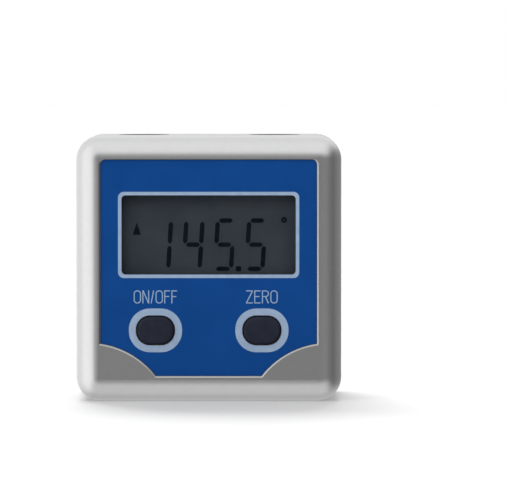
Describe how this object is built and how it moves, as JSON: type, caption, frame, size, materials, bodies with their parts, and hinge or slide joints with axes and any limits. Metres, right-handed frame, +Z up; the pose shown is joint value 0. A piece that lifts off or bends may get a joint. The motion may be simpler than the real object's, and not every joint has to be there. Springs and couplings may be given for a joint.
{
  "type": "digital angle gauge",
  "caption": "Square metal angle gauge with rounded front edges, a recessed face label with a display and two push buttons, magnets in its base and top, and a rear battery door.",
  "frame": {"origin": "middle of the footprint, on the plane of the base", "axes": "+Z up from the base to the top, -Y out of the face with the display, +X to the right seen from the front"},
  "size_m": [0.051, 0.033, 0.051],
  "materials": {
    "cast_metal": "satin blasted",
    "blue_label": "satin printed film",
    "clear_window": "clear gloss",
    "lcd_glass": "smooth glass",
    "white_plastic": "moulded",
    "dark_rubber": "matte",
    "board_green": "solder mask",
    "screw_steel": "zinc plated",
    "chip_black": "moulded",
    "cover_plastic": "fine spark texture",
    "contact_brass": "stamped strip",
    "red_insulation": "smooth",
    "magnet_nickel": "dark nickel plate"
  },
  "bodies": {
    "gauge": {"housing": "cast_metal", "face_label": "blue_label", "display_window": "clear_window", "lcd_panel": "lcd_glass", "lcd_holder": "white_plastic", "lcd_connector": "dark_rubber", "circuit_board": "board_green", "board_screws": "screw_steel", "controller_chip": "chip_black", "tilt_sensor": "chip_black", "timing_crystal": "screw_steel", "on_off_switch": "chip_black", "zero_switch": "chip_black", "rear_cover": "cover_plastic", "cover_screws": "screw_steel", "coin_cell": "screw_steel", "positive_contact": "contact_brass", "negative_contact": "contact_brass", "positive_lead": "red_insulation", "negative_lead": "dark_rubber", "base_magnet_left": "magnet_nickel", "base_magnet_right": "magnet_nickel", "top_magnet_left": "magnet_nickel", "top_magnet_right": "magnet_nickel"},
    "on_off_key": {"on_off_button": "dark_rubber", "on_off_plunger": "chip_black"},
    "zero_key": {"zero_button": "dark_rubber", "zero_plunger": "chip_black"},
    "door": {"battery_door": "cover_plastic"}
  },
  "joints": [
    {"name": "on_off_press", "type": "slide", "parent": "gauge", "child": "on_off_key", "axis": [0, 1, 0], "range_m": [0, 0.0004], "stiffness_N_per_m": 1200},
    {"name": "zero_press", "type": "slide", "parent": "gauge", "child": "zero_key", "axis": [0, 1, 0], "range_m": [0, 0.0004], "stiffness_N_per_m": 1200},
    {"name": "battery_door_slide", "type": "slide", "parent": "gauge", "child": "door", "axis": [1, 0, 0], "range_m": [0, 0.03]}
  ]
}
